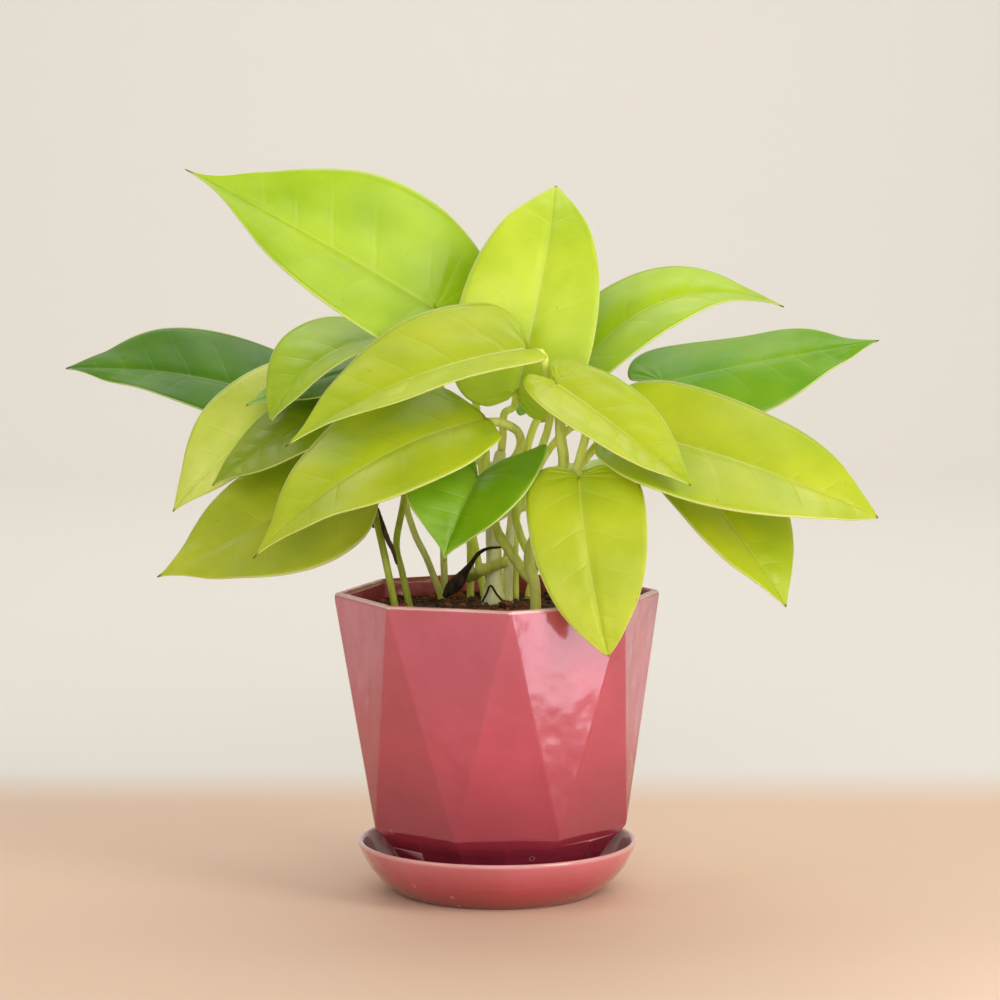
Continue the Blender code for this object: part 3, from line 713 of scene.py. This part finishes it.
def build_blade(name, leaf, finish, wave):
    blade = Blade(leaf)
    seed = sum(map(ord, name)) % 17
    edge = half_outline(leaf, OUTLINE_STEPS)
    points, faces, places = [], [], []
    for hand in (1, -1):
        first = len(points)
        for j, (across, t) in enumerate(edge):
            s = j / (OUTLINE_STEPS - 1)
            root = max(0.0, t - RIB_SLANT * across)
            for k in range(RIB_STEPS + 1):
                q = (k / RIB_STEPS) ** 1.15
                here = root + (t - root) * q
                taper_off = min(1.0, across * 3)
                lift = surface_height(hand, s, q, wave, seed) * taper_off
                points.append(tuple(blade.point(hand, across * q, here, lift)))
                places.append((0.5 + 0.5 * hand * q, s))
        row = RIB_STEPS + 1
        for j in range(OUTLINE_STEPS - 1):
            for k in range(RIB_STEPS):
                a = first + j * row + k
                quad = (a, a + 1, a + row + 1, a + row)
                faces.append(quad if hand > 0 else quad[::-1])
    mesh = bpy.data.meshes.new("blade_" + name)
    mesh.from_pydata([Vector(p) * MM for p in points], [], faces)
    leaf_map = mesh.uv_layers.new(name="leaf_map")
    for loop in mesh.loops:
        leaf_map.data[loop.index].uv = places[loop.vertex_index]
    weld = bmesh.new()
    weld.from_mesh(mesh)
    bmesh.ops.remove_doubles(weld, verts=weld.verts, dist=0.00002)
    bmesh.ops.recalc_face_normals(weld, faces=weld.faces)
    weld.faces.ensure_lookup_table()
    facing = sum(f.normal.dot(blade.up) * f.calc_area() for f in weld.faces)
    if facing < 0:
        bmesh.ops.reverse_faces(weld, faces=weld.faces)
    weld.to_mesh(mesh)
    weld.free()
    mesh.shade_smooth()
    mesh.materials.append(finish)
    made = bpy.data.objects.new("blade_" + name, mesh)
    scene.collection.objects.link(made)
    solid = made.modifiers.new("thickness", "SOLIDIFY")
    solid.thickness = SKIN * MM
    solid.offset = 0.0
    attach(made, "root")
    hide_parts("leaf_" + name)
    return made


print("grid", OUTLINE_STEPS, "x", RIB_STEPS)

# %% [markdown]
# ## The leaf's finish
# A living leaf is waxy on top: a soft gloss over green flesh that lets light through, so it glows where the
# sun stands behind it. Water in the cells gives an IOR near 1.4. The neon form is yellow-green; older or
# shaded leaves are olive or deep green. On top of the leaf's own colour come paler veins, a cloudy mottle,
# a few dark specks and a brown tip, and a thin pale margin is painted light: light glowing through the
# thin edge. Subsurface scattering a few millimetres deep stands for the light inside the blade. Pattern
# scales are 1000 over a size in millimetres.

# %% Leaf material
def make_leaf_finish(name, light, deep, vein, gloss=0.36, contrast=0.6):
    made, tree, shader = start_material(name, gloss, 1.42, Subsurface_Weight=0.35,
                                        Subsurface_Radius=(0.55, 1.0, 0.12), Subsurface_Scale=0.004,
                                        Specular_IOR_Level=0.46)
    place = add(tree, PLACE).outputs["Object"]
    leaf_place = add(tree, "ShaderNodeUVMap", uv_map="leaf_map").outputs[0]
    parts = add(tree, "ShaderNodeSeparateXYZ", {"Vector": leaf_place})
    off_middle = add(tree, MATH, {0: parts.outputs["X"], 1: 0.5}, operation="SUBTRACT")
    q = add(tree, MATH, {0: off_middle.outputs[0]}, operation="ABSOLUTE").outputs[0]
    s = parts.outputs["Y"]
    cloud = add(tree, NOISE, {"Vector": place}, Scale=1000 / 26, Detail=3.0, Roughness=0.5)
    flesh = add(tree, RAMP, {"Fac": cloud.outputs["Fac"]}, [(0.30, deep), (0.68, light)])
    # side veins: thin pale lines at even steps of s, wavering a little
    wander = add(tree, NOISE, {"Vector": place}, Scale=1000 / 12, Detail=1.0)
    drift = add(tree, MATH, {0: wander.outputs["Fac"], 1: 0.012}, operation="MULTIPLY")
    s_drift = add(tree, MATH, {0: s, 1: drift.outputs[0]}, operation="ADD")
    turns = add(tree, MATH, {0: s_drift.outputs[0], 1: math.pi * VEINS}, operation="MULTIPLY")
    wave = add(tree, MATH, {0: turns.outputs[0]}, operation="SINE")
    crest = add(tree, MATH, {0: wave.outputs[0]}, operation="ABSOLUTE")
    side_vein = add(tree, RANGE, {"Value": crest.outputs[0]}, From_Min=0.0, From_Max=0.26,
                    To_Min=1.0, To_Max=0.0)
    fade = add(tree, RANGE, {"Value": q}, From_Min=0.05, From_Max=0.48, To_Min=1.0, To_Max=0.1)
    side = add(tree, MATH, {0: side_vein.outputs[0], 1: fade.outputs[0]}, operation="MULTIPLY")
    soft_side = add(tree, MATH, {0: side.outputs[0], 1: 0.10 * contrast}, operation="MULTIPLY")
    veined = add(tree, MIX, {0: soft_side.outputs[0], 6: flesh.outputs["Color"], 7: vein}, data_type="RGBA")
    # the midrib, fading towards the tip
    middle = add(tree, RANGE, {"Value": q}, From_Min=0.003, From_Max=0.014, To_Min=1.0, To_Max=0.0)
    fade_tip = add(tree, RANGE, {"Value": s}, From_Min=0.5, From_Max=1.0, To_Min=1.0, To_Max=0.5)
    rib = add(tree, MATH, {0: middle.outputs[0], 1: fade_tip.outputs[0]}, operation="MULTIPLY")
    soft_rib = add(tree, MATH, {0: rib.outputs[0], 1: 0.7 * contrast}, operation="MULTIPLY")
    ribbed = add(tree, MIX, {0: soft_rib.outputs[0], 6: veined.outputs[2], 7: vein}, data_type="RGBA")
    # a thin pale margin painted as light glowing through the thin edge, dark specks and a brown tip
    rim = add(tree, RANGE, {"Value": q}, From_Min=0.484, From_Max=0.497)
    soft_edge_glow = add(tree, MATH, {0: rim.outputs[0], 1: 0.55}, operation="MULTIPLY")
    edge_glowed = add(tree, MIX, {0: soft_edge_glow.outputs[0], 6: ribbed.outputs[2], 7: "#e6efa0"}, data_type="RGBA")
    specks = add(tree, "ShaderNodeTexVoronoi", {"Vector": place}, Scale=1000 / 11)
    speck = add(tree, RANGE, {"Value": specks.outputs["Distance"]}, From_Min=0.02,
                From_Max=0.045, To_Min=0.6, To_Max=0.0)
    specked = add(tree, MIX, {0: speck.outputs[0], 6: edge_glowed.outputs[2], 7: "#5f6418"}, data_type="RGBA")
    tip = add(tree, RANGE, {"Value": s}, From_Min=0.984, From_Max=0.996)
    tone = add(tree, MIX, {0: tip.outputs[0], 6: specked.outputs[2], 7: "#6b4423"}, data_type="RGBA")
    tree.links.new(tone.outputs[2], shader.inputs["Base Color"])
    sheen = add(tree, NOISE, {"Vector": place}, Scale=1000 / 18, Detail=2.0)
    rough = add(tree, RANGE, {"Value": sheen.outputs["Fac"]}, From_Min=0.3, From_Max=0.7,
                To_Min=gloss - 0.06, To_Max=gloss + 0.08)
    tree.links.new(rough.outputs[0], shader.inputs["Roughness"])
    skin = add(tree, NOISE, {"Vector": place}, Scale=1000 / 1.6, Detail=2.0)
    skin_bump = add(tree, BUMP, {"Height": skin.outputs["Fac"]}, Strength=0.25, Distance=0.0002)
    vein_bump = add(tree, BUMP, {"Height": side.outputs[0], "Normal": skin_bump.outputs[0]},
                    Strength=0.22, Distance=0.0005, invert=True)
    tree.links.new(vein_bump.outputs[0], shader.inputs["Normal"])
    return made


neon = make_leaf_finish("neon_leaf", "#b0d022", "#98b815", "#dcea78")
neon_bright = make_leaf_finish("bright_neon_leaf", "#c8e03c", "#b0cc28", "#e8f48c")
neon_warm = make_leaf_finish("warm_neon_leaf", "#bccb26", "#a3b818", "#dbe66a")
# a light green leaf, made paler still by a painted sheen
pale = make_leaf_finish("pale_leaf_with_sheen", "#dcec74", "#bdd23c", "#f2f8b0", gloss=0.28)
olive = make_leaf_finish("olive_leaf", "#b2ba2a", "#9aa61c", "#ccd45c")
dark_olive = make_leaf_finish("shaded_olive_leaf", "#96a61c", "#7e940c", "#aab94c")
mid_green = make_leaf_finish("mid_green_leaf", "#8ab41c", "#6c9a08", "#a8c850")
deep_green = make_leaf_finish("deep_green_leaf", "#588208", "#406a04", "#8ca448", gloss=0.42, contrast=0.9)
lime_green = make_leaf_finish("lime_green_leaf", "#80aa0a", "#629404", "#a2be48", gloss=0.46)
print("leaf finishes", 9)

# %% Place the leaves
FINISHES = {
    "top_left": (neon, "leaf_neon", 1.2), "far_left": (deep_green, "leaf_deep_green", 1.4),
    "top_centre": (neon_bright, "leaf_neon", 0.8), "top_right": (neon, "leaf_neon", 0.8),
    "middle_left": (neon_warm, "leaf_neon", 0.8), "front_left": (neon_warm, "leaf_neon", 1.0),
    "lowest_left": (olive, "leaf_olive", 1.0), "pale_left": (pale, "leaf_pale", 0.9),
    "inner_left": (neon, "leaf_neon", 0.6), "tucked_left": (mid_green, "leaf_green", 0.4),
    "olive_left": (dark_olive, "leaf_olive", 0.6), "front_hanging": (neon_warm, "leaf_olive", 0.8),
    "front_right": (neon_warm, "leaf_neon", 0.6), "long_right": (neon_warm, "leaf_olive", 1.0),
    "low_right": (neon_warm, "leaf_olive", 0.6), "far_right": (lime_green, "leaf_green", 2.0),
    "small_centre": (mid_green, "leaf_deep_green", 0.5), "curled_centre": (mid_green, "leaf_green", 1.2),
    "rear_left": (mid_green, "leaf_deep_green", 1.2), "rear_right": (neon, "leaf_deep_green", 1.2),
    "rear_low": (olive, "leaf_deep_green", 1.2),
}
for name, leaf in LEAVES.items():
    finish, slot_name, wave = FINISHES[name]
    build_blade(name, leaf, finish, wave)
print("blades placed", len(LEAVES))

# %% [markdown]
# ## Leaf stalks
# Each leaf hangs on a stalk a few millimetres thick, with a small swollen knee under the blade, where it bends
# the leaf to the light. Past the knee it runs on as the keel under the midrib, so the tube is carried along
# the underside to the tip. Its foot runs into the soil, or into the stem it grew from.

# %% Stalk material
def make_stalk_finish(name, green, pale_tone, streak, gloss=0.42):
    made, tree, shader = start_material(name, gloss, 1.42, Subsurface_Weight=0.4,
                                        Subsurface_Radius=(0.6, 1.0, 0.2), Subsurface_Scale=0.003)
    place = add(tree, PLACE).outputs["Object"]
    stretch = add(tree, "ShaderNodeMapping", {"Vector": place}, Scale=(1.0, 1.0, 0.12))
    grain = add(tree, NOISE, {"Vector": stretch.outputs[0]}, Scale=1000 / 2.2, Detail=3.0)
    cloud = add(tree, NOISE, {"Vector": place}, Scale=1000 / 14, Detail=2.0)
    flesh = add(tree, RAMP, {"Fac": cloud.outputs["Fac"]}, [(0.32, green), (0.66, pale_tone)])
    lines = add(tree, RANGE, {"Value": grain.outputs["Fac"]}, From_Min=0.48, From_Max=0.72,
                To_Min=0.0, To_Max=0.55)
    tone = add(tree, MIX, {0: lines.outputs[0], 6: flesh.outputs["Color"], 7: streak}, data_type="RGBA")
    tree.links.new(tone.outputs[2], shader.inputs["Base Color"])
    bump = add(tree, BUMP, {"Height": grain.outputs["Fac"]}, Strength=0.4, Distance=0.0003)
    tree.links.new(bump.outputs[0], shader.inputs["Normal"])
    return made


stalk_pale = make_stalk_finish("pale_green_stalk", "#e0e680", "#f4f8ac", "#c2c866")
stalk_mid = make_stalk_finish("green_stalk", "#e0ec62", "#f2fa86", "#c2ce50")
stalk_dark = make_stalk_finish("dark_green_stalk", "#a2b034", "#bcc84c", "#748222")
vine_olive = make_stalk_finish("olive_vine", "#d4da5e", "#e8ee80", "#aaa844", gloss=0.38)
vine_ivory = make_stalk_finish("ivory_vine", "#e4e6a0", "#f6f6cc", "#c0be74")
print("stalk finishes", 5)

# %% Stalks and vines
# Points from the foot of each stalk to just short of its leaf, and its radius there and at the leaf.
STALKS = {
    "top_left": ([(-5, 8, 150), (-8, 14, 180), (-12, 21, 200)], 1.5, 1.3),
    "far_left": ([(-7, 12, 140), (-14, 26, 158), (-48, 54, 170)], 1.5, 1.3),
    "top_centre": ([(2, -1, 167), (2.5, -1, 176)], 1.5, 1.3),
    "top_right": ([(7, 7, 145), (14, 9, 172)], 1.5, 1.4),
    "middle_left": ([(10, -14, 129), (8, -12, 134), (6.5, -10, 141), (9, -11, 152), (15.8, -13, 164),
                     (19.5, -13, 179), (17, -15, 194)], 1.5, 1.4),
    "front_left": ([(10, -15.5, 119.5), (5, -13.5, 126.5), (-1, -9, 137), (1, -6, 152), (8, -4, 163),
                   (7.5, -8, 170)], 2.0, 1.5),
    "lowest_left": ([(-37, -10, 105), (-41, -9, 125), (-45, -3, 141), (-47, 3, 149)], 1.4, 1.3),
    "pale_left": ([(-20, 24, 106), (-20, 23, 119), (-22, 24, 135), (-36, 32, 165)], 1.4, 1.3),
    "inner_left": ([(-10, 16, 107), (-10, 14, 122), (-10.5, 12, 132), (-14, 14, 160), (-24, 16, 192)], 1.4, 1.3),
    "tucked_left": ([(-21, 16, 107), (-26, 14, 121), (-31, 12, 132), (-34, 14, 146), (-31, 20, 172)], 1.3, 1.2),
    "olive_left": ([(-32, -3, 105), (-35, -3, 119), (-37, 0, 129), (-34, 8, 148), (-36, 14, 168), (-43, 17, 179)],
                   1.3, 1.2),
    "front_hanging": ([(27, -21, 181), (32, -24, 173)], 1.6, 1.6),
    "front_right": ([(23, -20, 182), (21, -20, 187)], 1.5, 1.4),
    "long_right": ([(23, -14, 150), (34, -11, 163)], 1.5, 1.5),
    "low_right": ([(27, -10, 140), (42, -6, 152)], 1.4, 1.3),
    "far_right": ([(8, 10, 140), (22, 19, 165), (48, 27, 181)], 1.5, 1.3),
    "small_centre": ([(7, 12, 109), (7, 13, 130), (10, 20, 160)], 1.1, 1.1),
    "curled_centre": ([(-3, -5, 148), (-4, -7, 158), (-4, -13, 163)], 1.4, 1.3),
    "rear_left": ([(-5, 20, 108), (-12, 32, 145)], 1.5, 1.3),
    "rear_right": ([(12, 20, 108), (20, 32, 136)], 1.5, 1.3),
    "rear_low": ([(1, 26, 108), (0, 36, 126)], 1.5, 1.3),
}

# Main stems: points and radii.
VINES = {
    "vine_front": ([(14, -22, 106.5), (13.5, -22, 116), (11.5, -20, 126), (17, -22, 142), (23.5, -25, 158),
                    (22.8, -23, 169), (22.4, -21, 179)], 2.0, 2.0),
    "vine_sheathed": ([(-11, 9.5, 115), (-7.4, 4.5, 117), (-6.4, -0.5, 118.6), (-3.5, -4.2, 119.8), (4, -8, 123)],
                      2.1, 2.0),
    "vine_pale": ([(-1.4, 2, 108), (-1.6, 2, 122), (-1.9, 2, 135), (-1, 1, 150), (1.5, 0, 163)], 2.6, 2.2),
    "vine_white": ([(4, 5, 108), (4, 4, 123), (5, 4, 134), (6, 5, 142)], 1.9, 1.6),
}

STALK_FINISH = {
    "lowest_left": stalk_dark, "olive_left": stalk_dark, "pale_left": stalk_pale, "tucked_left": stalk_pale,
    "front_left": vine_olive,
}
SOIL_FOOT = 112  # mm, a stalk that starts below this height grows out of the soil
SINK = Vector((0, 0, 3))


def rooted(way):
    """The way with a point added at its foot: in the soil, or inside the stem a little lower down."""
    way = [Vector(p) for p in way]
    foot = way[0]
    if foot.z < SOIL_FOOT:
        return [foot - SINK] + way
    lower = [p for vine, (line, _, _) in VINES.items() if vine != "vine_sheathed"
             for p in smooth_line(line, 60) if p.z < foot.z - 2]
    return [min(lower, key=lambda p: (p - foot).length)] + way


STALK_STEPS, KEEL_STEPS = 34, 22
for name, (way, start, end) in STALKS.items():
    leaf = LEAVES[name]
    blade = Blade(leaf)
    forward, up, _ = blade.axes(0.0)
    knee = blade.base - up * (end + 0.25)
    route = smooth_line(rooted(way) + [knee - forward * 6 - up * 1.5, knee], STALK_STEPS)
    radii = swell(start, end, STALK_STEPS, [(0.9, 0.16, 0.06)])
    for k in range(1, KEEL_STEPS + 1):
        t = 0.97 * k / KEEL_STEPS
        _, up, _ = blade.axes(t)
        radius = max(0.12, end * (1 - t) ** 1.4 * 0.62 * (1 - 0.3 * min(1, k / 3)))
        sink = GROOVE * min(1.0, 3 * (1 - t)) + radius * 0.75 + (end * 0.3 if k == 1 else 0)
        route.append(blade.midrib(t) - up * sink)
        radii.append(radius)
    points, faces = tube(route, radii, 12)
    make_piece("stem_" + name, points, faces, STALK_FINISH.get(name, stalk_mid),
               "stalk_" + name, "stalk_green")

VINE_FINISH = {"vine_front": vine_olive, "vine_sheathed": vine_olive, "vine_pale": vine_ivory,
               "vine_white": vine_ivory}
VINE_STEPS = 48
VINE_JOINTS = {
    "vine_front": [(0.42, 0.10, 0.02)], "vine_sheathed": [(0.55, 0.12, 0.05)],
    "vine_pale": [(0.05, 0.75, 0.09), (0.62, 0.10, 0.03)], "vine_white": [(0.5, 0.08, 0.04)],
}
for name, (way, start, end) in VINES.items():
    way = [Vector(p) for p in way]
    if name != "vine_sheathed":
        way[0] = way[0] - Vector((0, 0, 4))
    route = smooth_line(way, VINE_STEPS)
    radii = swell(start, end, VINE_STEPS, VINE_JOINTS[name])
    radii[-2:] = [radii[-2] * 0.9, radii[-1] * 0.55]
    points, faces = tube(route, radii, 20)
    make_piece("main_" + name, points, faces, VINE_FINISH[name], name, "vine_green")
print("stalks", len(STALKS), "vines", len(VINES))

# %% [markdown]
# ## Dry sheaths and aerial roots
# Each new leaf leaves its sheath behind, which dries to a dark papery strip, and thin black aerial roots
# arch over the soil. They are irregular tubes in a matt brown-black finish with lengthwise wrinkles.

# %% Dry pieces
def make_husk(name, dark, brown):
    made, tree, shader = start_material(name, 0.75)
    place = add(tree, PLACE).outputs["Object"]
    stretch = add(tree, "ShaderNodeMapping", {"Vector": place}, Scale=(1.0, 1.0, 0.25))
    grain = add(tree, NOISE, {"Vector": stretch.outputs[0]}, Scale=1000 / 1.5, Detail=4.0)
    tone = add(tree, RAMP, {"Fac": grain.outputs["Fac"]}, [(0.36, dark), (0.70, brown)])
    tree.links.new(tone.outputs["Color"], shader.inputs["Base Color"])
    bump = add(tree, BUMP, {"Height": grain.outputs["Fac"]}, Strength=0.8, Distance=0.0006)
    tree.links.new(bump.outputs[0], shader.inputs["Normal"])
    return made


husk = make_husk("dried_leaf_sheath", "#15100a", "#5f4526")
root_skin = make_husk("black_aerial_root", "#120d08", "#3a2a18")

# Dry and dark pieces: points, then the radius at each.
DRY = {
    "dry_sheath": ([(-19.6, 5, 108.2), (-17, 4.5, 111.3), (-14, 3.5, 114.6), (-11.4, 2.5, 118.4),
                    (-9.2, 1.5, 121.3)],
                   (0.9, 1.8, 2.6, 2.8, 2.6, 2.0, 1.5, 1.1, 0.9)),
    "dry_strip_long": ([(-43.4, -5.4, 142), (-41.6, -8.3, 136), (-40, -10.6, 131.5), (-37.8, -11.6, 127),
                        (-36.6, -11.6, 122)],
                       (0.3, 0.6, 0.9, 1.0, 0.9, 0.7, 0.3)),
    "dry_strip_short": ([(-47.6, -4.6, 140.5), (-46.4, -6.2, 138), (-45, -7.8, 135)], (0.3, 0.7, 0.8, 0.6, 0.3)),
    "root_wire_tall": ([(-5.5, -6, 107.5), (-4, -5.5, 110.5), (-2.4, -5, 113.5), (0, -4.6, 110), (2, -5, 107.8)],
                       (0.35, 0.4, 0.4, 0.4, 0.4, 0.4, 0.4, 0.4, 0.35)),
    "root_wire_curved": ([(-8.4, 0.8, 122.8), (-6.6, -0.2, 125), (-3.2, -2.2, 126.9), (3.6, -5.5, 127.8)],
                         (0.8, 0.8, 0.7, 0.6, 0.5, 0.4, 0.35)),
}

DRY_STEPS = 36
for name, (way, radii) in DRY.items():
    if name == "root_wire_curved":
        way = [DRY["dry_sheath"][0][-1]] + way
    route = smooth_line(way, DRY_STEPS)
    fine = []
    for k in range(DRY_STEPS):
        at = k / (DRY_STEPS - 1) * (len(radii) - 1)
        j = min(int(at), len(radii) - 2)
        wrinkle = 1 + 0.16 * noise(Vector((k * 0.6, len(name), 0)))
        fine.append((radii[j] + (radii[j + 1] - radii[j]) * (at - j)) * wrinkle)
    points, faces = tube(route, fine, 12)
    is_root = name.startswith("root")
    make_piece("piece_" + name, points, faces, root_skin if is_root else husk, name,
               "root_black" if is_root else "dry_husk")
print("dry pieces", len(DRY))
